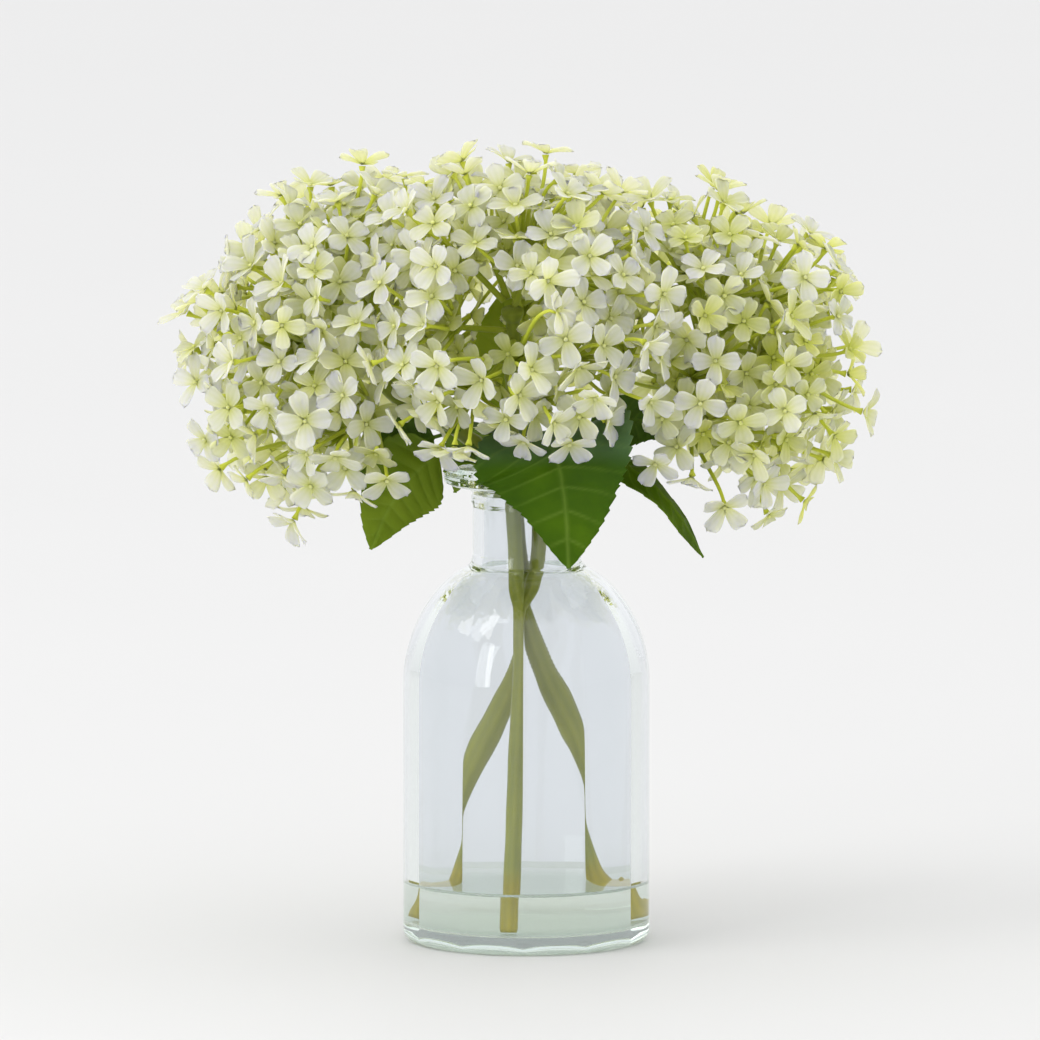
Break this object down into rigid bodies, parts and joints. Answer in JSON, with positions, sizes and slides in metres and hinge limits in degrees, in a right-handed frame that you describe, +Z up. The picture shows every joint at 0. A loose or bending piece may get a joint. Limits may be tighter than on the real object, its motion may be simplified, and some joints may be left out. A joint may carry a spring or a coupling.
{
  "type": "hydrangeas in a vase",
  "caption": "Glass bottle vase with fluted body, narrow neck and flared lip, holding cream hydrangea heads on green stems with leaves, in clear set water.",
  "frame": {"origin": "middle of the vase's foot, in the plane the vase stands on", "axes": "+Z up along the vase's axis, through the neck. -Y is the front, where the large leaf hangs over the lip. +X is to the right seen from the front."},
  "size_m": [0.2842, 0.1963, 0.3239],
  "materials": {
    "glass": "clear, with a faint green-blue tint at the thick edges",
    "water": "clear cast water, faint yellow-green",
    "stem": "satin olive green skin with fine lengthwise lines",
    "floret": "matte thin cream petals, greener at the middle, on olive pedicels",
    "leaf": "satin green leaf with paler veins"
  },
  "bodies": {
    "root": {"leaf_back_left": "leaf", "leaf_back_right": "leaf", "leaf_back_upright": "leaf", "leaf_front": "leaf", "leaf_left": "leaf", "leaf_left_rear": "leaf", "leaf_lip": "leaf", "leaf_right_lower": "leaf", "leaf_right_upper": "leaf", "spray_centre_01": "floret", "spray_centre_02": "floret", "spray_centre_03": "floret", "spray_centre_04": "floret", "spray_centre_05": "floret", "spray_centre_06": "floret", "spray_centre_07": "floret", "spray_centre_08": "floret", "spray_centre_09": "floret", "spray_centre_10": "floret", "spray_centre_11": "floret", "spray_centre_12": "floret", "spray_left_01": "floret", "spray_left_02": "floret", "spray_left_03": "floret", "spray_left_04": "floret", "spray_left_05": "floret", "spray_left_06": "floret", "spray_left_07": "floret", "spray_left_08": "floret", "spray_left_09": "floret", "spray_left_10": "floret", "spray_left_11": "floret", "spray_left_12": "floret", "spray_left_13": "floret", "spray_right_01": "floret", "spray_right_02": "floret", "spray_right_03": "floret", "spray_right_04": "floret", "spray_right_05": "floret", "spray_right_06": "floret", "spray_right_07": "floret", "spray_right_08": "floret", "spray_right_09": "floret", "spray_right_10": "floret", "spray_right_11": "floret", "spray_right_12": "floret", "stem_centre": "stem", "stem_left": "stem", "stem_right": "stem", "vase": "glass", "water": "water"}
  },
  "joints": []
}
